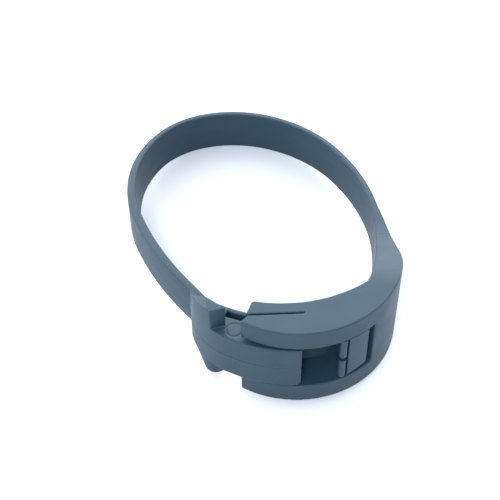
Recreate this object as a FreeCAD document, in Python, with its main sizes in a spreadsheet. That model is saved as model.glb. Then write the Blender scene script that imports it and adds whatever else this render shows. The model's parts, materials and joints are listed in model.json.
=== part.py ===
"""Strap clamp ring for a round fence post, in millimetres.

A slack plastic band is moulded to a crescent buckle. The band's free end is a thick tongue, which
slides between the buckle's two rails and is caught there by a flap latch. The origin is the post's
axis in the plane that the buckle stands on. +Z runs along the post and +Y from buckle to far band.
"""

import FreeCAD, Part
import Sketcher
import math
import os

SHEET_CELLS = [
    ("post_radius", 24.15),
    ("buckle_height", 18.5),
    ("rail_thickness", 4.1),
    ("outer_radius", 18.41),
    ("outer_x", 2.76),
    ("outer_y", -12.34),
    ("wall_thickness", 0.7),
    ("mouth_x", -5.7),
    ("mouth_lip_x", -6.9),
    ("shoulder_y", -17.0),
    ("slit_width", 0.3),
    ("slit_mouth_y", -26.6),
    ("slit_root_x", 3.79),
    ("slit_root_y", -26.18),
    ("lip_root_x", 3.65),
    ("lip_mouth_angle", -101.9),
    ("flex_gap", 0.15),
    ("band_gap", 0.3),
    ("window_end_angle", -45.4),
    ("band_height", 8.4),
    ("band_thickness", 1.15),
    ("root_thickness", 1.74),
    ("tongue_height", 9.5),
    ("tongue_lift", 0.3),
    ("arm_inner_radius", 25.1),
    ("arm_outer_radius", 25.65),
    ("arm_tip_x", 3.27),
    ("arm_tip_rounding", 1.2),
    ("tail_inner_radius", 22.7),
    ("tail_outer_radius", 23.6),
    ("tail_end_angle", -92.0),
    ("groove_angle", -112.6),
    ("strip_inner_radius", 25.15),
    ("strip_outer_radius", 26.3),
    ("barb_radius", 27.0),
    ("strip_end_angle", -65.3),
    ("strip_height", 6.4),
    ("flap_thickness", 1.3),
    ("flap_clearance", 0.36),
    ("flap_top_clearance", 0.15),
    ("flap_hinge_angle", -65.0),
    ("flap_end_angle", -49.6),
    ("knuckle_radius", 0.7),
    ("knuckle_gap", 0.9),
    ("pin_radius", 0.3),
    ("pin_clearance", 0.05),
]

doc = FreeCAD.newDocument("clamp_ring")
sheet = doc.addObject("Spreadsheet::Sheet", "sheet")
for row, (alias, value) in enumerate(SHEET_CELLS, start=1):
    sheet.set(f"A{row}", alias)
    sheet.set(f"B{row}", str(value))
    sheet.setAlias(f"B{row}", alias)
doc.recompute()
dim = {alias: float(sheet.get(alias)) for alias, _ in SHEET_CELLS}

AXIS = (0.0, 0.0)
OUTER = (dim["outer_x"], dim["outer_y"])
ARM_CENTRE = (2.67, -5.14)
MIDDLE = dim["buckle_height"] / 2
TOUCHING = 0.001
Z_UP = FreeCAD.Vector(0, 0, 1)
nodes = []


def polar(centre, radius, degrees):
    """The point at a radius and an angle about a centre."""
    angle = math.radians(degrees)
    return (centre[0] + radius * math.cos(angle), centre[1] + radius * math.sin(angle))


def on_post(radius, degrees):
    """The point at a radius and an angle about the post's axis."""
    return polar(AXIS, radius, degrees)


def below(centre, radius, x):
    """The lower point of a circle at a given x."""
    return (x, centre[1] - math.sqrt(radius**2 - (x - centre[0]) ** 2))


def line(point):
    """A straight step of an outline, ending at the point."""
    return {"end": point}


def arc(centre, point, turn, size=None):
    """A round step of an outline about a centre; turn is 1 anticlockwise, size an expression."""
    return {"end": point, "centre": centre, "turn": turn, "size": size}


def bow(middle, point):
    """A round step of an outline through a middle point."""
    return {"end": point, "middle": middle}


def vector(point):
    return FreeCAD.Vector(point[0], point[1], 0)


def circle_through(start, middle, end):
    """The centre of the circle through three points, and the turn from start to end."""
    circle = Part.Arc(vector(start), vector(middle), vector(end)).toShape().Curve
    centre = (circle.Center.x, circle.Center.y)
    cross = (middle[0] - start[0]) * (end[1] - start[1]) - (middle[1] - start[1]) * (end[0] - start[0])
    return centre, (1 if cross > 0 else -1)


def add_step(sketch, start, step):
    """Adds one step of an outline; returns its number and which of its ends come first and last."""
    end = step["end"]
    if "middle" in step:
        centre, turn = circle_through(start, step["middle"], end)
    elif "centre" in step:
        centre, turn = step["centre"], step["turn"]
    else:
        return sketch.addGeometry(Part.LineSegment(vector(start), vector(end)), False), 1, 2
    first, last = (start, end) if turn > 0 else (end, start)
    radius = math.dist(centre, first)
    angles = [math.atan2(p[1] - centre[1], p[0] - centre[0]) for p in (first, last)]
    circle = Part.Circle(vector(centre), Z_UP, radius)
    number = sketch.addGeometry(Part.ArcOfCircle(circle, angles[0], angles[1]), False)
    return (number, 1, 2) if turn > 0 else (number, 2, 1)


def draw(sketch, start, steps):
    """Draws a closed outline and ties its steps end to end; named radii follow the sheet."""
    placed = []
    for step in steps:
        placed.append(add_step(sketch, start, step))
        start = step["end"]
    for here, after in zip(placed, placed[1:] + placed[:1]):
        sketch.addConstraint(Sketcher.Constraint("Coincident", here[0], here[2], after[0], after[1]))
    for step, (number, _, _) in zip(steps, placed):
        if step.get("size"):
            if step["centre"] == AXIS:
                sketch.addConstraint(Sketcher.Constraint("Coincident", number, 3, -1, 1))
            radius = math.dist(step["centre"], step["end"])
            index = sketch.addConstraint(Sketcher.Constraint("Radius", number, radius))
            sketch.setExpression(f"Constraints[{index}]", step["size"])


def add_sketch(body, name, plane="XY_Plane"):
    """An empty sketch on one of a body's own origin planes."""
    sketch = body.newObject("Sketcher::SketchObject", name)
    origin_plane = [f for f in body.Origin.OriginFeatures if f.Role == plane][0]
    sketch.AttachmentSupport = (origin_plane, [""])
    sketch.MapMode = "FlatFace"
    return sketch


def new_body(name, plane="XY_Plane"):
    """A body and its first sketch, which lies on one of the body's origin planes."""
    body = doc.addObject("PartDesign::Body", name)
    body.Label = name
    return body, add_sketch(body, name + "_outline", plane)


def slab(name, start, steps, low, height, keep=True):
    """A sub-part with one plan outline, from the height `low` up by `height`, both expressions."""
    body, sketch = new_body(name)
    draw(sketch, start, steps)
    sketch.setExpression("AttachmentOffset.Base.z", low)
    pad = body.newObject("PartDesign::Pad", name + "_pad")
    pad.Profile = sketch
    pad.setExpression("Length", height)
    if keep:
        nodes.append(body)
    return body


def profiled(name, plan, plane, start, steps, width):
    """The part of a plan slab inside a side outline, which is drawn on a plane and made `width` wide."""
    side, sketch = new_body(name + "_side", plane)
    draw(sketch, start, steps)
    pad = side.newObject("PartDesign::Pad", name + "_side_pad")
    pad.Profile = sketch
    pad.Midplane = True
    pad.setExpression("Length", width)
    shared = doc.addObject("Part::Common", name)
    shared.Base = plan
    shared.Tool = side
    shared.Label = name
    nodes.append(shared)


def round_edge(body, start, end, height, radius):
    """Rounds a body's level edge between two plan points at a height; the radius is an expression."""
    doc.recompute()
    base = body.Tip
    ends = [FreeCAD.Vector(*point, height) for point in (start, end)]
    for number, edge in enumerate(base.Shape.Edges, start=1):
        at_ends = all(edge.distToShape(Part.Vertex(point))[0] < TOUCHING for point in ends)
        if at_ends and len(edge.Vertexes) == 2:
            fillet = body.newObject("PartDesign::Fillet", body.Name + "_fillet")
            fillet.Base = (base, [f"Edge{number}"])
            fillet.setExpression("Radius", radius)
            return
    raise SystemExit(f"{body.Label} has no such edge to round")


RAIL = "sheet.rail_thickness"
WINDOW = "sheet.buckle_height - 2 * sheet.rail_thickness"
TOP_RAIL = "sheet.buckle_height - sheet.rail_thickness"
POST = "sheet.post_radius"
OUTSIDE = "sheet.outer_radius"
ALL_WIDE = "6 * sheet.outer_radius"


# --- Buckle: two crescent rails, the saddle wall between them and the solid end -------------------

saddle_angle = -53.2
slit_slope = (dim["slit_root_y"] - dim["slit_mouth_y"]) / (dim["slit_root_x"] - dim["mouth_x"])


def slit_side(x, side):
    """A point on the slit's outer side (-1) or on its inner side (+1)."""
    middle = dim["slit_mouth_y"] + slit_slope * (x - dim["mouth_x"])
    return (x, middle + side * dim["slit_width"] / 2)


rail_mouth = below(OUTER, dim["outer_radius"], dim["mouth_lip_x"])
rise = (dim["shoulder_y"] - OUTER[1]) / dim["outer_radius"]
shoulder_outer = polar(OUTER, dim["outer_radius"], math.degrees(math.asin(rise)))
saddle_end = on_post(dim["post_radius"], saddle_angle)
shoulder_inner_x = 15.51
shoulder_inner = (shoulder_inner_x, dim["shoulder_y"])
rail_lip = below(AXIS, dim["post_radius"], dim["lip_root_x"])
finger_tip_x = -5.95


def add_rail(name, low):
    """One crescent rail, without the lip finger that the slit cuts free."""
    steps = [
        arc(OUTER, shoulder_outer, 1, OUTSIDE),
        line(shoulder_inner),
        line(saddle_end),
        arc(AXIS, rail_lip, -1, POST),
        line(slit_side(dim["lip_root_x"], -1)),
        line(slit_side(dim["mouth_x"], -1)),
        line(rail_mouth),
    ]
    slab(name, rail_mouth, steps, low, RAIL)


def add_finger(name, low):
    """The finger of the spring lip beside one rail, between the slit and the saddle."""
    root_x = dim["lip_root_x"] - dim["flex_gap"]
    root = below(AXIS, dim["post_radius"], root_x)
    tip = on_post(dim["post_radius"], dim["lip_mouth_angle"])
    steps = [
        line(slit_side(finger_tip_x, 1)),
        line(slit_side(root_x, 1)),
        line(root),
        arc(AXIS, tip, -1, POST),
    ]
    slab(name, tip, steps, low, RAIL)


def add_wall(name, first_angle, last_angle):
    """A stretch of the thin saddle wall that bears on the post, between the rails."""
    outside = dim["post_radius"] + dim["wall_thickness"]
    start = on_post(outside, first_angle)
    steps = [
        arc(AXIS, on_post(outside, last_angle), 1, POST + " + sheet.wall_thickness"),
        line(on_post(dim["post_radius"], last_angle)),
        arc(AXIS, on_post(dim["post_radius"], first_angle), -1, POST),
        line(start),
    ]
    slab(name, start, steps, RAIL, WINDOW)


add_rail("buckle_bottom_plate", "0")
add_rail("buckle_top_plate", TOP_RAIL)
add_finger("lip_bottom_finger", "0")
add_finger("lip_top_finger", TOP_RAIL)

lip_root_angle = math.degrees(math.atan2(rail_lip[1], rail_lip[0]))
gap_angle = math.degrees(dim["flex_gap"] / dim["post_radius"])
window_wall_angle = -61.5
add_wall("lip_wall", dim["lip_mouth_angle"], lip_root_angle - gap_angle)
add_wall("buckle_inner_wall", lip_root_angle, window_wall_angle)

# The end block has a pocket that the latch strip runs into when the ring is pulled tight.
pocket_inner = dim["post_radius"] + dim["wall_thickness"]
pocket_outer = 27.6
pocket_end_angle = -55.5
pocket_mouth_angle = -59.4
window_back_radius = 16.0
window_corner = polar(OUTER, dim["outer_radius"], dim["window_end_angle"])
window_back = polar(OUTER, window_back_radius, dim["window_end_angle"])
slab(
    "buckle_end_block",
    window_corner,
    [
        arc(OUTER, shoulder_outer, 1, OUTSIDE),
        line(shoulder_inner),
        line(saddle_end),
        arc(AXIS, on_post(dim["post_radius"], window_wall_angle), -1, POST),
        line(on_post(pocket_inner, window_wall_angle)),
        arc(AXIS, on_post(pocket_inner, pocket_end_angle), 1, POST + " + sheet.wall_thickness"),
        line(on_post(pocket_outer, pocket_end_angle)),
        arc(AXIS, on_post(pocket_outer, pocket_mouth_angle), -1),
        line(window_back),
        line(window_corner),
    ],
    RAIL,
    WINDOW,
)

# The shoulder runs from the buckle's full height down to the band's height.
shoulder_tip_y = -0.22
ramp_end_y = -4.0
tip_inner_x = 17.63
tip_outer_x = tip_inner_x + dim["root_thickness"]
past_tip_y = 1.0
outer_bend_angle = 5.2
outer_bend = polar(OUTER, dim["outer_radius"], outer_bend_angle)
outer_waist = (20.3, -5.6)
inner_waist = (16.95, -9.3)
shoulder_plan = slab(
    "shoulder_plan",
    shoulder_inner,
    [
        line(shoulder_outer),
        arc(OUTER, outer_bend, 1, OUTSIDE),
        bow(outer_waist, (tip_outer_x, shoulder_tip_y)),
        line((tip_inner_x, shoulder_tip_y)),
        bow(inner_waist, shoulder_inner),
    ],
    "0",
    "sheet.buckle_height",
    keep=False,
)
band_low = MIDDLE - dim["band_height"] / 2
band_high = MIDDLE + dim["band_height"] / 2
side_start = (dim["shoulder_y"], 0.0)
profiled(
    "band_shoulder",
    shoulder_plan,
    "YZ_Plane",
    side_start,
    [
        line((dim["shoulder_y"], dim["buckle_height"])),
        line((ramp_end_y, band_high)),
        line((past_tip_y, band_high)),
        line((past_tip_y, band_low)),
        line((ramp_end_y, band_low)),
        line(side_start),
    ],
    ALL_WIDE,
)


# --- Band: tangent arcs from the buckle round to the tongue, cut into spans at the flex hinges ----

# The band's centre line starts at a point and a direction; each arc has a length and a turn.
# The third value is how far the inner face has thickened by the arc's end, on the way to the tongue.
BAND_START = (17.92, 3.15, 99.5)
BAND_ARCS = {
    "band_right_span": [(17.4, 26.4, 0.0)],
    "band_far_right_span": [(16.1, 34.9, 0.0), (13.2, 34.3, 0.0)],
    "band_far_left_span": [(9.75, 33.9, 0.0), (12.6, 34.0, 0.3), (12.45, 29.55, 0.6)],
    "band_left_span": [(20.0, 19.0, 0.25)],
}
BAND_BODIES = [["band_right_span"], ["band_far_right_span", "band_far_left_span"], ["band_left_span"]]
BAND_LOW = "(sheet.buckle_height - sheet.band_height) / 2"
BAND_TALL = "sheet.band_height"


def offset(place, distance):
    """The point at a distance to the left of a place (x, y, direction)."""
    return polar(place, distance, place[2] + 90)


def along(place, length, turn):
    """The place reached from another along an arc of a length and a turn in degrees."""
    radius = length / math.radians(turn)
    centre = offset(place, radius)
    end = polar(centre, radius, place[2] - 90 + turn)
    return (end[0], end[1], place[2] + turn), centre


def add_span(name, place, grown, arcs, gap_before, gap_after):
    """One span of the band along its arcs, trimmed at its ends; returns the place and growth there."""
    half = dim["band_thickness"] / 2
    left, right = [], []
    for number, (length, turn, grown_after) in enumerate(arcs):
        first = number == 0
        last = number == len(arcs) - 1
        after, centre = along(place, length, turn)
        per_mm = turn / length
        trim_start = gap_before if first else 0.0
        trim_end = gap_after if last else 0.0
        near = along(place, trim_start, trim_start * per_mm)[0] if trim_start else place
        middle = along(place, length / 2, turn / 2)[0]
        far = along(place, length - trim_end, turn - trim_end * per_mm)[0]
        if first:
            opening = near
        right.append(arc(centre, offset(far, -half), 1))
        inner_middle = offset(middle, half + (grown + grown_after) / 2)
        left.append(bow(inner_middle, offset(near, half + grown)))
        place, grown = after, grown_after
    across = [line(offset(far, half + grown))]
    back = [line(offset(opening, -half))]
    slab(name, offset(opening, -half), right + across + left[::-1] + back, BAND_LOW, BAND_TALL)
    return place, grown


half_gap = dim["band_gap"] / 2
root_place = BAND_START
root_outer = offset(root_place, -dim["band_thickness"] / 2)
root_inner = offset(root_place, dim["band_thickness"] / 2)
root_start = (tip_outer_x, shoulder_tip_y)
root_steps = [
    line((root_outer[0], root_outer[1] - half_gap)),
    line((root_inner[0], root_inner[1] - half_gap)),
    line((tip_inner_x, shoulder_tip_y)),
    line(root_start),
]
slab("band_root", root_start, root_steps, BAND_LOW, BAND_TALL)

place, grown = BAND_START, 0.0
for group in BAND_BODIES:
    for span in group:
        before = half_gap if span == group[0] else 0.0
        after = half_gap if span == group[-1] else 0.0
        place, grown = add_span(span, place, grown, BAND_ARCS[span], before, after)


# --- Tongue: thick arm in two halves, thin tail, stop ears and latch strip -------------------------

TONGUE_LOW = RAIL + " + sheet.tongue_lift"
TONGUE_HALF = "sheet.tongue_height / 2"
tail_bend_angle = -124.0
hinge = place
tail_bend = on_post((dim["tail_inner_radius"] + dim["tail_outer_radius"]) / 2, tail_bend_angle)
tail_direction = math.degrees(math.atan2(tail_bend[1] - hinge[1], tail_bend[0] - hinge[0]))
tail_place = polar(hinge, half_gap, tail_direction) + (tail_direction,)
band_half = dim["band_thickness"] / 2
tail_start = offset(tail_place, -band_half)
tail_outer_bend = on_post(dim["tail_outer_radius"], tail_bend_angle)
slab(
    "tongue_tail",
    tail_start,
    [
        line(tail_outer_bend),
        arc(AXIS, on_post(dim["tail_outer_radius"], dim["tail_end_angle"]), 1, "sheet.tail_outer_radius"),
        line(on_post(dim["tail_inner_radius"], dim["tail_end_angle"])),
        arc(AXIS, on_post(dim["tail_inner_radius"], tail_bend_angle), -1, "sheet.tail_inner_radius"),
        line(offset(tail_place, band_half + grown)),
        line(tail_start),
    ],
    BAND_LOW,
    BAND_TALL,
)

# The arm's outer face is one long arc, which bends in at the left to meet the band's outer face.
heel_bend_x = -9.8
heel_waist = (-13.9, -23.7)
heel_shoulder = (-15.55, -19.6)
heel_bend = below(ARM_CENTRE, dim["arm_outer_radius"], heel_bend_x)
heel_share = 0.06
heel_top = (
    tail_start[0] + heel_share * (tail_outer_bend[0] - tail_start[0]),
    tail_start[1] + heel_share * (tail_outer_bend[1] - tail_start[1]),
)
arm_tip = below(ARM_CENTRE, dim["arm_outer_radius"], dim["arm_tip_x"])
arm_inner_tip = below(AXIS, dim["arm_inner_radius"], dim["arm_tip_x"])
arm_steps = [
    bow(heel_waist, heel_bend),
    arc(ARM_CENTRE, arm_tip, 1, "sheet.arm_outer_radius"),
    line(arm_inner_tip),
    arc(AXIS, on_post(dim["arm_inner_radius"], dim["groove_angle"]), -1, "sheet.arm_inner_radius"),
    line(on_post(dim["tail_outer_radius"], dim["groove_angle"])),
    arc(AXIS, tail_outer_bend, -1, "sheet.tail_outer_radius"),
    line(heel_top),
    line(heel_shoulder),
]
lower_half = slab("tongue_lower_half", heel_shoulder, arm_steps, TONGUE_LOW, TONGUE_HALF)
tongue_low = dim["rail_thickness"] + dim["tongue_lift"]
round_edge(lower_half, arm_tip, arm_inner_tip, tongue_low, "sheet.arm_tip_rounding")
slab("tongue_upper_half", heel_shoulder, arm_steps, TONGUE_LOW + " + " + TONGUE_HALF, TONGUE_HALF)

# The upper ear stands on the arm and slopes down to the left; the lower ear tapers to its foot.
heel_centre, _ = circle_through(heel_shoulder, heel_waist, heel_bend)
heel_radius = math.dist(heel_centre, heel_bend)
ear_left_x = -15.3
ear_front_x = -12.0
ear_left = below(heel_centre, heel_radius, ear_left_x)
ear_front = below(heel_centre, heel_radius, ear_front_x)
ear_right = (-9.4, -25.2)
ear_plan = slab(
    "ear_plan",
    ear_left,
    [
        arc(heel_centre, ear_front, 1),
        line(ear_right),
        line(ear_left),
    ],
    RAIL,
    TOP_RAIL,
    keep=False,
)
tongue_top = tongue_low + dim["tongue_height"]
ear_low_z = 16.2
ear_crest_x = -12.6
past_ear_x = ear_left_x - 1.0
ear_side_start = (past_ear_x, tongue_top)
profiled(
    "upper_ear",
    ear_plan,
    "XZ_Plane",
    ear_side_start,
    [
        line((0.0, tongue_top)),
        line((0.0, dim["buckle_height"])),
        line((ear_crest_x, dim["buckle_height"])),
        line((past_ear_x, ear_low_z)),
        line(ear_side_start),
    ],
    ALL_WIDE,
)


ear_inner = (-10.8, -22.6)


def draw_ear(sketch, left, front, right):
    """Draws a level section of the lower ear, round in front and straight behind."""
    draw(sketch, left, [bow(front, right), line(ear_inner), line(left)])


lower_ear, ear_foot = new_body("lower_ear")
draw_ear(ear_foot, (-13.3, -22.9), (-11.8, -24.7), (-10.0, -24.2))
ear_root = add_sketch(lower_ear, "lower_ear_root")
draw_ear(ear_root, (-14.75, -21.9), (-13.2, -24.2), (-10.6, -25.2))
ear_root.setExpression("AttachmentOffset.Base.z", TONGUE_LOW)
ear_loft = lower_ear.newObject("PartDesign::AdditiveLoft", "lower_ear_loft")
ear_loft.Profile = ear_foot
ear_loft.Sections = [ear_root]
nodes.append(lower_ear)

strip_inner = dim["strip_inner_radius"]
strip_outer = dim["strip_outer_radius"]
strip_start = below(AXIS, strip_inner, dim["arm_tip_x"])
crest_angle = dim["strip_end_angle"] - 3.0
barb_foot_angle = crest_angle - 0.4
slab(
    "latch_strip",
    strip_start,
    [
        arc(AXIS, on_post(strip_inner, dim["strip_end_angle"]), 1, "sheet.strip_inner_radius"),
        line(on_post(strip_outer, dim["strip_end_angle"])),
        line(on_post(dim["barb_radius"], crest_angle)),
        line(on_post(strip_outer, barb_foot_angle)),
        arc(AXIS, below(AXIS, strip_outer, dim["arm_tip_x"]), -1, "sheet.strip_outer_radius"),
        line(strip_start),
    ],
    "(sheet.buckle_height - sheet.strip_height) / 2",
    "sheet.strip_height",
)


# --- Latch: a flap on a pin in the window, with a tooth that drops behind the strip's barb ---------

knuckle_orbit = dim["outer_radius"] - dim["knuckle_radius"]
knuckle_centre = polar(OUTER, knuckle_orbit, dim["flap_hinge_angle"])
flap_inner = dim["outer_radius"] - dim["flap_thickness"]
flap_outer = dim["outer_radius"] - 0.1
flap_seat = dim["flap_hinge_angle"] + 2.6
tooth_tip_radius = 15.55
tooth_back_radius = 16.0
tooth_back_angle = -53.5
tooth_root_angle = -54.5
seat_outer = polar(OUTER, flap_outer, flap_seat)
seat_inner = polar(OUTER, flap_inner, flap_seat)
FLAP_LOW = RAIL + " + sheet.flap_clearance"
FLAP_TALL = WINDOW + " - sheet.flap_clearance - sheet.flap_top_clearance"
flap_plan = slab(
    "flap_plan",
    seat_outer,
    [
        arc(OUTER, polar(OUTER, flap_outer, dim["flap_end_angle"]), 1),
        line(polar(OUTER, tooth_tip_radius, dim["flap_end_angle"])),
        line(polar(OUTER, tooth_back_radius, tooth_back_angle)),
        line(polar(OUTER, flap_inner, tooth_root_angle)),
        arc(OUTER, seat_inner, -1, OUTSIDE + " - sheet.flap_thickness"),
        line(seat_outer),
    ],
    RAIL,
    WINDOW,
    keep=False,
)
flap_low = dim["rail_thickness"] + dim["flap_clearance"]
flap_high = dim["buckle_height"] - dim["rail_thickness"] - dim["flap_top_clearance"]
flap_slope = 0.244
before_flap_x = seat_inner[0] - 1.0
past_flap_x = seat_outer[0] + 6.0
flap_free_low = flap_low + flap_slope * (past_flap_x - seat_outer[0])
flap_side_start = (before_flap_x, flap_low)
profiled(
    "latch_flap",
    flap_plan,
    "XZ_Plane",
    flap_side_start,
    [
        line((seat_outer[0], flap_low)),
        line((past_flap_x, flap_free_low)),
        line((past_flap_x, flap_high)),
        line((before_flap_x, flap_high)),
        line(flap_side_start),
    ],
    ALL_WIDE,
)


def cylinder(name, radius, low, height, centre=knuckle_centre):
    """A round upright bar; its radius, low end and height are expressions."""
    bar = doc.addObject("Part::Cylinder", name)
    bar.Label = name
    bar.setExpression("Radius", radius)
    bar.setExpression("Height", height)
    bar.Placement = FreeCAD.Placement(FreeCAD.Vector(centre[0], centre[1], 0), FreeCAD.Rotation())
    bar.setExpression("Placement.Base.z", low)
    return bar


pin = cylinder("latch_pin", "sheet.pin_radius", RAIL, WINDOW)
nodes.append(pin)
barrel = cylinder("knuckle_barrel", "sheet.knuckle_radius", FLAP_LOW, FLAP_TALL)
bore = cylinder("knuckle_bore", "sheet.pin_radius + sheet.pin_clearance", "0", "sheet.buckle_height")
notch_low = "(sheet.buckle_height - sheet.knuckle_gap) / 2"
notch = cylinder("knuckle_notch", "2 * sheet.knuckle_radius", notch_low, "sheet.knuckle_gap")
void = doc.addObject("Part::Fuse", "knuckle_void")
void.Base = bore
void.Tool = notch
hollow_barrel = doc.addObject("Part::Cut", "hollow_barrel")
hollow_barrel.Base = barrel
hollow_barrel.Tool = void
# The flap's own edge takes the barrel's right-hand side, so the knuckles stop at the flap.
knuckles = doc.addObject("Part::Cut", "latch_knuckles")
knuckles.Base = hollow_barrel
knuckles.Tool = doc.getObject("latch_flap")
knuckles.Label = "latch_knuckles"
nodes.append(knuckles)


# --- Checks and export ------------------------------------------------------------------------------

doc.recompute()
for item in doc.Objects:
    if "Invalid" in item.State or "Error" in item.State:
        raise SystemExit(f"{item.Name} did not build: {item.State}")
for node in nodes:
    if node.Shape.isNull() or not node.Shape.isValid() or not node.Shape.Solids:
        raise SystemExit(f"{node.Label} has no valid solid")

os.makedirs("parts", exist_ok=True)
for node in nodes:
    node.Shape.exportStep(os.path.join("parts", node.Label + ".step"))
    print(f"{node.Label}: {node.Shape.Volume:.1f} mm3, {len(node.Shape.Solids)} solid(s)")
print("nodes:", len(nodes))
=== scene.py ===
"""Looks of the strap clamp ring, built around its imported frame. Blender's unit is the metre."""

import json
import math

import bmesh
import bpy
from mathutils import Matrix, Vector

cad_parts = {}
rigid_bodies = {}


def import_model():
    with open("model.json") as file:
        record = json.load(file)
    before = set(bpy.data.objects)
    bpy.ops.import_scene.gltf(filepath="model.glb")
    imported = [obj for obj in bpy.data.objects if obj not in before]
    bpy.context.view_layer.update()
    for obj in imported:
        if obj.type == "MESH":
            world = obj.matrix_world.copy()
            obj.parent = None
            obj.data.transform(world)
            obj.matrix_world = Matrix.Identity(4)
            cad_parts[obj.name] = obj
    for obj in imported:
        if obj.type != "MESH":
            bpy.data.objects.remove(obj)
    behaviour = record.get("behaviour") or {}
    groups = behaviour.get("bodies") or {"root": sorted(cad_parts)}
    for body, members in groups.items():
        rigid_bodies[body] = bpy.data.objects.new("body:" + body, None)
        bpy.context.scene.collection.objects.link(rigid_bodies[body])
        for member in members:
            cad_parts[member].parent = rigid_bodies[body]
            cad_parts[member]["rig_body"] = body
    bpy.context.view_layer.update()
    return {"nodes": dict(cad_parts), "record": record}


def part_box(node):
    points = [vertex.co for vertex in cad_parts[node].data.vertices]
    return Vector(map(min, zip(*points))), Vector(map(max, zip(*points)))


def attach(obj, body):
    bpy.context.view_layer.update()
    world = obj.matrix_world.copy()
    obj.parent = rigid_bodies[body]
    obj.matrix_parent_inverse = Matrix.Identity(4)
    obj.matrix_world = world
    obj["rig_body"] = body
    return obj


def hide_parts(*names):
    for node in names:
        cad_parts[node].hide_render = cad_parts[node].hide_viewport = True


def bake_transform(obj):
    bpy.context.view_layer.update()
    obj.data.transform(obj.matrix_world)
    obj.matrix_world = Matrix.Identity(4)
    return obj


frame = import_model()

MM = 0.001
scene = bpy.context.scene


# --- Materials --------------------------------------------------------------------------------------

# The noise scales are per metre.
CLOUD_SCALE, SMEAR_SCALE, SAND_SCALE = 90.0, 260.0, 3500.0
GLOSS_SPREAD = 0.08
FLOW_DEPTH = 0.03 * MM
SAND_DEPTH = 0.015 * MM
# Painted shade: where ambient occlusion finds crevices within this reach, the colour is multiplied down
# towards this tint.
CREVICE_SHADE_REACH = 2.0 * MM
CREVICE_SHADE_TINT = (0.8, 0.82, 0.84)
PLASTIC_SPECULAR = 0.33
SHARP_ANGLE = math.radians(40.0)


def add_node(tree, kind, **values):
    """Adds a shader node and sets its named inputs."""
    node = tree.nodes.new(kind)
    for name, value in values.items():
        node.inputs[name.replace("_", " ")].default_value = value
    return node


def add_ramp(tree, *stops):
    """Adds a colour ramp between two stops of (position, colour)."""
    ramp = tree.nodes.new("ShaderNodeValToRGB")
    for element, (position, colour) in zip(ramp.color_ramp.elements, stops):
        element.position = position
        element.color = (*colour, 1.0)
    return ramp


def add_maths(tree, operation):
    """Adds a node that works out one sum."""
    node = tree.nodes.new("ShaderNodeMath")
    node.operation = operation
    return node


def moulded_plastic(name, dark, light, roughness, stretch=(1.0, 1.0, 1.0), grain=0.35):
    """Matt moulded plastic: cloudy pigment, painted shade in the crevices, uneven gloss, flow marks and
    sandy grain.
    """
    material = bpy.data.materials.new(name)
    material.use_nodes = True
    tree = material.node_tree
    shader = tree.nodes["Principled BSDF"]
    shader.inputs["Specular IOR Level"].default_value = PLASTIC_SPECULAR
    place = tree.nodes.new("ShaderNodeTexCoord")
    stretched = add_node(tree, "ShaderNodeMapping", Scale=stretch)
    tree.links.new(place.outputs["Object"], stretched.inputs["Vector"])

    clouds = add_node(tree, "ShaderNodeTexNoise", Scale=CLOUD_SCALE, Detail=6.0, Roughness=0.6)
    tree.links.new(stretched.outputs["Vector"], clouds.inputs["Vector"])
    tint = add_ramp(tree, (0.3, dark), (0.7, light))
    tree.links.new(clouds.outputs["Fac"], tint.inputs["Fac"])
    # Painted shade: the base colour is darkened where ambient occlusion finds crevices and recesses.
    crevices = add_node(tree, "ShaderNodeAmbientOcclusion", Distance=CREVICE_SHADE_REACH)
    crevices.samples = 8
    painted_shade = add_ramp(tree, (0.15, CREVICE_SHADE_TINT), (0.65, (1.0, 1.0, 1.0)))
    tree.links.new(crevices.outputs["AO"], painted_shade.inputs["Fac"])
    shaded_tint = tree.nodes.new("ShaderNodeMix")
    shaded_tint.data_type = "RGBA"
    shaded_tint.blend_type = "MULTIPLY"
    shaded_tint.inputs["Factor"].default_value = 1.0
    tree.links.new(tint.outputs["Color"], shaded_tint.inputs["A"])
    tree.links.new(painted_shade.outputs["Color"], shaded_tint.inputs["B"])
    tree.links.new(shaded_tint.outputs["Result"], shader.inputs["Base Color"])

    smears = add_node(tree, "ShaderNodeTexNoise", Scale=SMEAR_SCALE, Detail=4.0)
    tree.links.new(stretched.outputs["Vector"], smears.inputs["Vector"])
    low, high = roughness - GLOSS_SPREAD, roughness + GLOSS_SPREAD
    gloss = add_node(tree, "ShaderNodeMapRange", To_Min=low, To_Max=high)
    tree.links.new(smears.outputs["Fac"], gloss.inputs["Value"])
    tree.links.new(gloss.outputs["Result"], shader.inputs["Roughness"])

    sand = add_node(tree, "ShaderNodeTexNoise", Scale=SAND_SCALE, Detail=2.0)
    tree.links.new(stretched.outputs["Vector"], sand.inputs["Vector"])
    flow = add_node(tree, "ShaderNodeBump", Strength=0.5, Distance=FLOW_DEPTH)
    tree.links.new(smears.outputs["Fac"], flow.inputs["Height"])
    bump = add_node(tree, "ShaderNodeBump", Strength=grain, Distance=SAND_DEPTH)
    tree.links.new(sand.outputs["Fac"], bump.inputs["Height"])
    tree.links.new(flow.outputs["Normal"], bump.inputs["Normal"])
    tree.links.new(bump.outputs["Normal"], shader.inputs["Normal"])
    return material


# The plastic's darker and lighter tint, and a squeeze in height that makes streaks along the band.
SLATE = ((0.0095, 0.0335, 0.0545), (0.0135, 0.0395, 0.062))
ALONG_BAND = (1.0, 1.0, 4.0)
materials = {
    "buckle_plastic": moulded_plastic("buckle_slate", *SLATE, roughness=0.5),
    "band_plastic": moulded_plastic("band_slate", *SLATE, roughness=0.52, stretch=ALONG_BAND),
    "tongue_plastic": moulded_plastic("tongue_slate", *SLATE, roughness=0.48),
    "latch_plastic": moulded_plastic("latch_slate", *SLATE, roughness=0.42, grain=0.2),
}
slot_of = {part["node"]: part["material_slot"] for part in frame["record"]["subparts"]}


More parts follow.
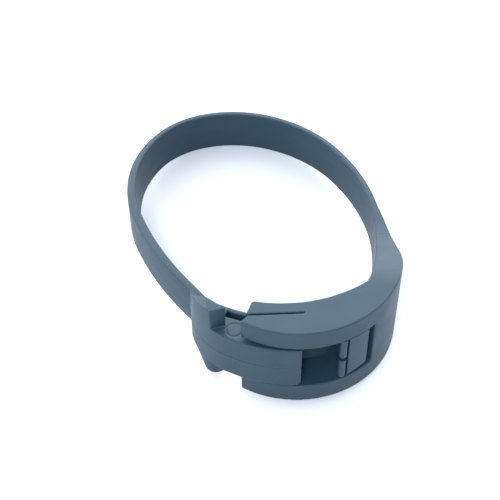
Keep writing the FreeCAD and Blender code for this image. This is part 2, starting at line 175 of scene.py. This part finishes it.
def finish_piece(name, mesh, slot):
    """An object for a finished mesh, smooth shaded, with the material of its slot."""
    mesh.materials.clear()
    mesh.materials.append(materials[slot])
    mesh.shade_smooth()
    mesh.set_sharp_from_angle(angle=SHARP_ANGLE)
    piece = bpy.data.objects.new(name, mesh)
    scene.collection.objects.link(piece)
    return piece


# --- Moulded shells: CAD solids joined, rounded at every edge and cut back into their nodes ---------

SAME_POINT = 0.001 * MM
TRIANGLES_KEPT = 0.3


def joined_nodes(names, reach=None):
    """One mesh that holds copies of the named CAD nodes; reach says how far each point moves."""
    copies = bmesh.new()
    for name in names:
        copies.from_mesh(frame["nodes"][name].data)
    bmesh.ops.remove_doubles(copies, verts=copies.verts, dist=SAME_POINT)
    if reach:
        for vertex in copies.verts:
            vertex.co += reach(vertex.co)
    mesh = bpy.data.meshes.new("joined")
    copies.to_mesh(mesh)
    copies.free()
    return mesh


def applied(mesh, modifiers):
    """A new mesh: the given one with a list of (type, settings) modifiers applied."""
    carrier = bpy.data.objects.new("carrier", mesh)
    scene.collection.objects.link(carrier)
    for kind, settings in modifiers:
        modifier = carrier.modifiers.new(kind.lower(), kind)
        for setting, value in settings.items():
            setattr(modifier, setting, value)
    graph = bpy.context.evaluated_depsgraph_get()
    result = bpy.data.meshes.new_from_object(carrier.evaluated_get(graph))
    bpy.data.objects.remove(carrier)
    return result


def rounded(names, voxel, passes, emboss=None, reach=None):
    """The named nodes fused into one closed skin with softly rounded edges.

    More smoothing passes and a larger voxel round the edges more. Reach says how far each point of
    the copied CAD meshes moves, and emboss how far each point of the smoothed skin does.
    """
    skin = applied(
        joined_nodes(names, reach),
        [
            ("REMESH", {"mode": "VOXEL", "voxel_size": voxel, "adaptivity": 0.0}),
            ("SMOOTH", {"factor": 0.5, "iterations": passes}),
        ],
    )
    if emboss:
        for vertex in skin.vertices:
            vertex.co += emboss(vertex.co)
    return applied(skin, [("DECIMATE", {"ratio": TRIANGLES_KEPT})])


def part_of(skin, sides):
    """The part of a closed skin behind every plane of a list of (point, normal), capped."""
    cut = bmesh.new()
    cut.from_mesh(skin)
    for point, normal in sides:
        found = bmesh.ops.bisect_plane(
            cut,
            geom=cut.verts[:] + cut.edges[:] + cut.faces[:],
            plane_co=point,
            plane_no=normal,
            clear_outer=True,
        )
        rim = [e for e in found["geom_cut"] if isinstance(e, bmesh.types.BMEdge)]
        bmesh.ops.triangle_fill(cut, edges=rim, normal=normal, use_dissolve=False)
    mesh = bpy.data.meshes.new("part")
    cut.to_mesh(mesh)
    cut.free()
    return mesh


def add_shell(node, mesh):
    """A moulded piece that stands for one CAD node and rides with it."""
    piece = finish_piece(node + "_moulded", mesh, slot_of[node])
    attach(piece, frame["nodes"][node]["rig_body"])
    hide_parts(node)


X, Y, Z = Vector((1, 0, 0)), Vector((0, 1, 0)), Vector((0, 0, 1))
window_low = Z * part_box("buckle_bottom_plate")[1].z
window_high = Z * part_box("buckle_top_plate")[0].z
shoulder_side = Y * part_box("band_shoulder")[0].y
shoulder_tip_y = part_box("band_shoulder")[1].y

# The plane between the inner wall and the end block holds the post's axis; wall_side faces the block.
WINDOW_WALL_ANGLE = math.radians(-61.5)
wall_side = Vector((-math.sin(WINDOW_WALL_ANGLE), math.cos(WINDOW_WALL_ANGLE), 0))

# The shoulder's ramp runs along Y from full height down to the band's height, with eased ends.
RAMP_START, RAMP_END, RAMP_EASE = -17.0 * MM, -4.0 * MM, 3.7 * MM
full_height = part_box("buckle_top_plate")[1].z
middle_height = full_height / 2
ramp_drop = full_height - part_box("band_root")[1].z
ramp_slope = ramp_drop / (RAMP_END - RAMP_START)

# The shoulder's points within this depth of its tip are drawn on into the band, by this much.
TIP_DEPTH = 0.1 * MM
TIP_DRAWN_ON = Vector((-0.1, 0.6, 0)) * MM


def eased(distance):
    """The distance past a crease, or nothing before it, with the change spread over the easing."""
    if abs(distance) < RAMP_EASE:
        return (distance + RAMP_EASE) ** 2 / (4 * RAMP_EASE)
    return max(distance, 0.0)


def ease_ramp(co):
    """How far a point of the shoulder moves up or down to take the creases off its ramp."""
    past_start, past_end = co.y - RAMP_START, co.y - RAMP_END
    sharp = middle_height - ramp_slope * (max(past_start, 0.0) - max(past_end, 0.0))
    soft = middle_height - ramp_slope * (eased(past_start) - eased(past_end))
    return Z * (co.z - middle_height) * (soft / sharp - 1)


def into_band(co):
    """Draws the shoulder's tip on into the band, so that it meets it with no rounded edge."""
    return TIP_DRAWN_ON if co.y > shoulder_tip_y - TIP_DEPTH else Vector()


buckle = rounded(
    [
        "buckle_top_plate",
        "buckle_bottom_plate",
        "buckle_inner_wall",
        "buckle_end_block",
        "band_shoulder",
    ],
    voxel=0.12 * MM,
    passes=14,
    emboss=ease_ramp,
    reach=into_band,
)
in_window = [(shoulder_side, Y), (window_high, Z), (window_low, -Z)]
add_shell("buckle_top_plate", part_of(buckle, [(shoulder_side, Y), (window_high, -Z)]))
add_shell("buckle_bottom_plate", part_of(buckle, [(shoulder_side, Y), (window_low, Z)]))
add_shell("buckle_inner_wall", part_of(buckle, in_window + [(Vector(), wall_side)]))
add_shell("buckle_end_block", part_of(buckle, in_window + [(Vector(), -wall_side)]))
add_shell("band_shoulder", part_of(buckle, [(shoulder_side, -Y), (Y * shoulder_tip_y, Y)]))

# The lip's points within this depth of its root are drawn on into the plates, and the skin is cut
# where the plates start, across the thin gap between the CAD solids.
ROOT_DEPTH = 0.3 * MM
ROOT_DRAWN_ON = 0.6 * MM
ROOT_CUT = 0.15 * MM
lip_root_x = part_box("lip_wall")[1].x
plate_root = X * (lip_root_x + ROOT_CUT)

# The lip's free corner beside the post, and the directions from it along the saddle and the mouth.
LIP_CORNER = Vector((-4.98, -23.63)) * MM
LIP_ROUNDING = 0.9 * MM
ALONG_SADDLE = Vector((0.979, -0.206))
ALONG_MOUTH = Vector((-0.324, -0.946))
lip_half_angle = ALONG_SADDLE.angle(ALONG_MOUTH) / 2
lip_inwards = (ALONG_SADDLE + ALONG_MOUTH).normalized()
lip_round_centre = LIP_CORNER + lip_inwards * LIP_ROUNDING / math.sin(lip_half_angle)
lip_round_reach = LIP_ROUNDING / math.tan(lip_half_angle)


def into_plate(co):
    """Draws the lip's root on into the plates, so that it meets them with no rounded edge."""
    return X * (ROOT_DRAWN_ON if co.x > lip_root_x - ROOT_DEPTH else 0.0)


def round_corner(co):
    """Draws the lip's free corner in to a round one."""
    off_corner = co.xy - LIP_CORNER
    beside_saddle = off_corner.dot(ALONG_SADDLE) < lip_round_reach
    beside_mouth = off_corner.dot(ALONG_MOUTH) < lip_round_reach
    off_centre = co.xy - lip_round_centre
    if off_centre.length < LIP_ROUNDING or not (beside_saddle and beside_mouth):
        return Vector()
    return (off_centre.normalized() * LIP_ROUNDING - off_centre).to_3d()


lip = rounded(
    ["lip_top_finger", "lip_bottom_finger", "lip_wall"],
    voxel=0.09 * MM,
    passes=12,
    emboss=round_corner,
    reach=into_plate,
)
add_shell("lip_top_finger", part_of(lip, [(window_high, -Z), (plate_root, X)]))
add_shell("lip_bottom_finger", part_of(lip, [(window_low, Z), (plate_root, X)]))
add_shell("lip_wall", part_of(lip, [(window_high, Z), (window_low, -Z), (plate_root, X)]))

# The ejector pin's mark is a shallow round groove; only points within its reach of the top sink.
EJECTOR_MARK = Vector((-7.94 * MM, -26.17 * MM))
EJECTOR_RADIUS = 1.35 * MM
EJECTOR_HALF_WIDTH = 0.22 * MM
EJECTOR_DEPTH = 0.09 * MM
EJECTOR_REACH = 0.5 * MM
arm_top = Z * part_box("tongue_upper_half")[1].z
arm_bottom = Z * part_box("tongue_lower_half")[0].z


def ejector_groove(co):
    """How far a point of the arm's top sinks in the ejector pin's mark."""
    off_ring = abs((co.xy - EJECTOR_MARK).length - EJECTOR_RADIUS) / EJECTOR_HALF_WIDTH
    if off_ring > 1 or co.z < arm_top.z - EJECTOR_REACH:
        return Vector()
    return -Z * EJECTOR_DEPTH * (1 - off_ring**2)


upper = rounded(["tongue_upper_half", "upper_ear"], voxel=0.1 * MM, passes=8, emboss=ejector_groove)
add_shell("tongue_upper_half", part_of(upper, [(arm_top, Z)]))
add_shell("upper_ear", part_of(upper, [(arm_top, -Z)]))
lower = rounded(["tongue_lower_half", "lower_ear"], voxel=0.1 * MM, passes=8)
add_shell("tongue_lower_half", part_of(lower, [(arm_bottom, -Z)]))
add_shell("lower_ear", part_of(lower, [(arm_bottom, Z)]))

for node in ("latch_strip", "latch_flap", "latch_knuckles"):
    add_shell(node, rounded([node], voxel=0.05 * MM, passes=5))

# The pin is the CAD's own piece, and only gets its material.
pin = frame["nodes"]["latch_pin"]
pin.data.materials.clear()
pin.data.materials.append(materials["latch_plastic"])


# --- Band: one strip with rounded edges along the ring, cut between its hinges ----------------------

# Lengths here are in millimetres and angles in degrees. The root runs straight to the band's start,
# the band is a chain of arcs, and the tail runs to a circle around the post's axis and follows it.
ROOT_LENGTH = 3.37
ROOT_START = (18.5, -0.22)
ROOT_THICKNESS = 1.74
BAND_THICKNESS = 1.15
TAIL_THICKNESS = 0.9
TAIL_RADIUS = 23.15
TAIL_BEND_ANGLE = -124.0
TAIL_END_ANGLE = -92.0

# The start is its x, its y and its direction. An arc is its length, its turn, and how far the inner
# face has grown by its end.
BAND_START = (17.92, 3.15, 99.5)
BAND_ARCS = [
    (17.4, 26.4, 0.0),
    (16.1, 34.9, 0.0),
    (13.2, 34.3, 0.0),
    (9.75, 33.9, 0.0),
    (12.6, 34.0, 0.3),
    (12.45, 29.55, 0.6),
    (20.0, 19.0, 0.25),
]
STEP = 0.4
SMOOTHING_PASSES = 12
CORNER = 0.3
CORNER_STEPS = 4

# Where the inner face has grown, its foot stands out by this share of the growth more.
FOOT_SHARE = 1.2


def on_post(radius, angle):
    """The place at a radius and an angle in radians around the post's axis."""
    return radius * math.cos(angle), radius * math.sin(angle)


def band_stations():
    """Smoothed stations down the strip, and how far along it past the band's start each one is.

    A station is (x, y, thickness, growth); the growth is what the inner face adds to the thickness.
    """
    stations = []

    def add_run(start, end, first_thickness, last_thickness, first_growth=0.0):
        """Adds a straight run up to its end, with the growth fading out."""
        count = max(2, round(math.dist(start, end) / STEP))
        for i in range(count):
            t = i / count
            x = start[0] + t * (end[0] - start[0])
            y = start[1] + t * (end[1] - start[1])
            thickness = first_thickness + t * (last_thickness - first_thickness)
            stations.append((x, y, thickness, first_growth * (1 - t)))

    def add_arc(centre, radius, first_angle, turn, thickness, first_growth=0.0, last_growth=0.0):
        """Adds an arc up to its end, with its angles in radians."""
        count = round(radius * turn / STEP)
        for i in range(count):
            t = i / count
            angle = first_angle + turn * t
            x = centre[0] + radius * math.cos(angle)
            y = centre[1] + radius * math.sin(angle)
            stations.append((x, y, thickness, first_growth + t * (last_growth - first_growth)))

    x, y = BAND_START[:2]
    direction = math.radians(BAND_START[2])
    growth = 0.0
    add_run(ROOT_START, (x, y), ROOT_THICKNESS, BAND_THICKNESS)
    for length, turn, growth_after in BAND_ARCS:
        turn = math.radians(turn)
        radius = length / turn
        centre = (x - radius * math.sin(direction), y + radius * math.cos(direction))
        add_arc(centre, radius, direction - math.pi / 2, turn, BAND_THICKNESS, growth, growth_after)
        growth = growth_after
        direction += turn
        x = centre[0] + radius * math.sin(direction)
        y = centre[1] - radius * math.cos(direction)
    first, last = math.radians(TAIL_BEND_ANGLE), math.radians(TAIL_END_ANGLE)
    add_run((x, y), on_post(TAIL_RADIUS, first), BAND_THICKNESS, TAIL_THICKNESS, growth)
    add_arc((0, 0), TAIL_RADIUS, first, last - first, TAIL_THICKNESS)
    stations.append((*on_post(TAIL_RADIUS, last), TAIL_THICKNESS, 0.0))

    for _ in range(SMOOTHING_PASSES):
        middles = [
            tuple((a[k] + 2 * b[k] + c[k]) / 4 for k in range(4))
            for a, b, c in zip(stations, stations[1:], stations[2:])
        ]
        stations = [stations[0]] + middles + [stations[-1]]
    reach = [-ROOT_LENGTH]
    for a, b in zip(stations, stations[1:]):
        reach.append(reach[-1] + math.dist(a[:2], b[:2]))
    return stations, reach


stations, reach = band_stations()
band_low, band_high = (corner.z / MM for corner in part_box("band_far_left_span"))


def section(thickness, growth):
    """The strip's rounded outline across it, as points (outwards, up)."""
    points = []
    outer, inner = thickness / 2, -thickness / 2 - growth
    foot = inner - FOOT_SHARE * growth
    corners = [(outer, band_low, -90), (outer, band_high, 0), (inner, band_high, 90), (foot, band_low, 180)]
    for out, up, first in corners:
        middle_out = out - math.copysign(CORNER, out)
        middle_up = up + (CORNER if up == band_low else -CORNER)
        for step in range(CORNER_STEPS + 1):
            angle = math.radians(first + step * 90 / CORNER_STEPS)
            points.append((middle_out + CORNER * math.cos(angle), middle_up + CORNER * math.sin(angle)))
    return points


def ring_at(index):
    """The strip's outline at a station, as points in metres.

    The first one lies flat against the shoulder's tip.
    """
    before = stations[max(index - 1, 0)]
    after = stations[min(index + 1, len(stations) - 1)]
    x, y, thickness, growth = stations[index]
    outwards = Vector((after[1] - before[1], before[0] - after[0])).normalized() if index else X.xy
    return [
        Vector((x + outwards.x * out, y + outwards.y * out, up)) * MM
        for out, up in section(thickness, growth)
    ]


def station_near(distance):
    """The number of the station nearest to a distance along the strip."""
    return min(range(len(reach)), key=lambda i: abs(reach[i] - distance))


def add_strip(name, first, last):
    """A closed stretch of the strip between two distances along it."""
    strip = bmesh.new()
    rings = [
        [strip.verts.new(point) for point in ring_at(i)]
        for i in range(station_near(first), station_near(last) + 1)
    ]
    size = len(rings[0])
    for a, b in zip(rings, rings[1:]):
        for i in range(size):
            j = (i + 1) % size
            strip.faces.new((a[i], b[i], b[j], a[j]))
    strip.faces.new(rings[0])
    strip.faces.new(rings[-1][::-1])
    bmesh.ops.recalc_face_normals(strip, faces=strip.faces)
    mesh = bpy.data.meshes.new(name)
    strip.to_mesh(mesh)
    strip.free()
    return finish_piece(name, mesh, "band_plastic")


# The strip is cut at these distances from its hinges. The far stretches between the cuts beside the
# right and the left hinge are rigid, the tail past the last cut is too, and the rest is tied to no body.
FAR_CUTS_OFF_HINGES = 9.6
CUT_PAST_LEFT_HINGE = 10.4
CUT_PAST_TONGUE_HINGE = 3.0
lengths = [length for length, _, _ in BAND_ARCS]
right_hinge = lengths[0]
far_middle = sum(lengths[:3])
left_hinge = sum(lengths[:6])
tongue_hinge = sum(lengths)
right_middle = right_hinge / 2
far_first = right_hinge + FAR_CUTS_OFF_HINGES
far_last = left_hinge - FAR_CUTS_OFF_HINGES
left_middle = left_hinge + CUT_PAST_LEFT_HINGE
tail_start = tongue_hinge + CUT_PAST_TONGUE_HINGE


def add_bend(name, first, last, node):
    """A stretch of the strip that goes over from one body to the next around a hinge.

    It is tied to no body and stays where it is built.
    """
    piece = add_strip(name, first, last)
    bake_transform(piece)
    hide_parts(node)


def add_rigid(name, first, last, body, node):
    """A stretch of the strip that rides on one body."""
    piece = add_strip(name, first, last)
    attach(piece, body)
    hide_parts(node)


add_bend(
    "band_root_flex",
    -ROOT_LENGTH,
    right_middle,
    node="band_root",
)
add_bend(
    "band_right_flex",
    right_middle,
    far_first,
    node="band_right_span",
)
add_rigid("band_far_right", far_first, far_middle, "band_far", "band_far_right_span")
add_rigid("band_far_left", far_middle, far_last, "band_far", "band_far_left_span")
add_bend(
    "band_left_flex",
    far_last,
    left_middle,
    node="band_left_span",
)
add_bend(
    "band_tongue_flex",
    left_middle,
    tail_start,
    node="band_left_span",
)
add_rigid("tongue_tail_moulded", tail_start, reach[-1], "tongue", "tongue_tail")


# --- Studio: camera, floor and light ----------------------------------------------------------------

LENS_MM = 79.2
SENSOR_MM = 36.0
CLIP_START = 5.0 * MM
AIM = Vector((-5.25, 4.6, 0.0)) * MM
DISTANCE = 214.5 * MM
ELEVATION = math.radians(47.56)
ROLL = math.radians(-0.28)

FLOOR_HALF = 3.0
FLOOR_COLOUR = (0.64, 0.685, 0.76, 1.0)
SKY_COLOUR = (0.97, 0.985, 1.0, 1.0)
LAMP_SIDE = -0.1


def add_camera():
    """The camera stands in front of the buckle and looks along +Y, down onto the ring."""
    data = bpy.data.cameras.new("camera")
    data.lens = LENS_MM
    data.sensor_width = SENSOR_MM
    data.clip_start = CLIP_START
    camera = bpy.data.objects.new("camera", data)
    camera.location = AIM + DISTANCE * Vector((0, -math.cos(ELEVATION), math.sin(ELEVATION)))
    camera.rotation_euler = (math.pi / 2 - ELEVATION, 0.0, 0.0)
    camera.rotation_euler.rotate_axis("Z", ROLL)
    scene.collection.objects.link(camera)
    scene.camera = camera


def floor_height(y):
    """How high the floor is at a place along Y.

    It meets the rear edge of the buckle's foot and the lower edge of the far band, as a floor that
    the slack ring lies tipped on.
    """
    foot_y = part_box("buckle_bottom_plate")[1].y
    far_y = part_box("band_far_left_span")[1].y
    slope = band_low * MM / (far_y - foot_y)
    return slope * (y - foot_y)


def add_floor():
    """A plain floor that reaches far past the view and leans in the ring's level frame."""
    sides = [(-1, -1), (1, -1), (1, 1), (-1, 1)]
    corners = [(FLOOR_HALF * x, FLOOR_HALF * y, floor_height(FLOOR_HALF * y)) for x, y in sides]
    mesh = bpy.data.meshes.new("floor")
    mesh.from_pydata(corners, [], [(0, 1, 2, 3)])
    floor = bpy.data.objects.new("floor", mesh)
    scene.collection.objects.link(floor)
    material = bpy.data.materials.new("floor_white")
    material.use_nodes = True
    shader = material.node_tree.nodes["Principled BSDF"]
    shader.inputs["Base Color"].default_value = FLOOR_COLOUR
    shader.inputs["Roughness"].default_value = 0.95
    shader.inputs["Specular IOR Level"].default_value = 0.2
    mesh.materials.append(material)


def add_world(front=0.32, back=5.1, front_y=-0.1, back_y=0.9, side=1.9, side_middle=0.2):
    """White surroundings, brightest on the far side, dim where the camera stands and lit from the sides.

    X and Y are those of the direction looked in, from -1 to 1. The strength goes from front to back
    as Y goes from front_y to back_y, and side times the square of X less side_middle is added to it.
    """
    world = bpy.data.worlds.new("studio")
    world.use_nodes = True
    tree = world.node_tree
    sky = tree.nodes["Background"]
    sky.inputs["Color"].default_value = SKY_COLOUR
    place = tree.nodes.new("ShaderNodeTexCoord")
    split = tree.nodes.new("ShaderNodeSeparateXYZ")
    tree.links.new(place.outputs["Generated"], split.inputs["Vector"])
    shade = add_node(
        tree, "ShaderNodeMapRange", From_Min=front_y, From_Max=back_y, To_Min=front, To_Max=back
    )
    tree.links.new(split.outputs["Y"], shade.inputs["Value"])
    off_middle = add_maths(tree, "SUBTRACT")
    off_middle.inputs[1].default_value = side_middle
    tree.links.new(split.outputs["X"], off_middle.inputs[0])
    squared = add_maths(tree, "MULTIPLY")
    tree.links.new(off_middle.outputs["Value"], squared.inputs[0])
    tree.links.new(off_middle.outputs["Value"], squared.inputs[1])
    total = add_maths(tree, "MULTIPLY_ADD")
    total.inputs[1].default_value = side
    tree.links.new(squared.outputs["Value"], total.inputs[0])
    tree.links.new(shade.outputs["Result"], total.inputs[2])
    tree.links.new(total.outputs["Value"], sky.inputs["Strength"])
    scene.world = world


def add_fill(distance=0.32, size=0.09, watts=0.75):
    """A small lamp behind the camera, a little to the left, which lights the inside of the window."""
    data = bpy.data.lights.new("fill", "AREA")
    data.size = size
    data.energy = watts
    lamp = bpy.data.objects.new("fill", data)
    towards = Vector((LAMP_SIDE, -math.cos(ELEVATION), math.sin(ELEVATION))).normalized()
    lamp.location = distance * towards
    lamp.rotation_euler = towards.to_track_quat("Z", "Y").to_euler()
    scene.collection.objects.link(lamp)


add_camera()
add_floor()
add_fill()
add_world()
scene.view_settings.view_transform = "Standard"
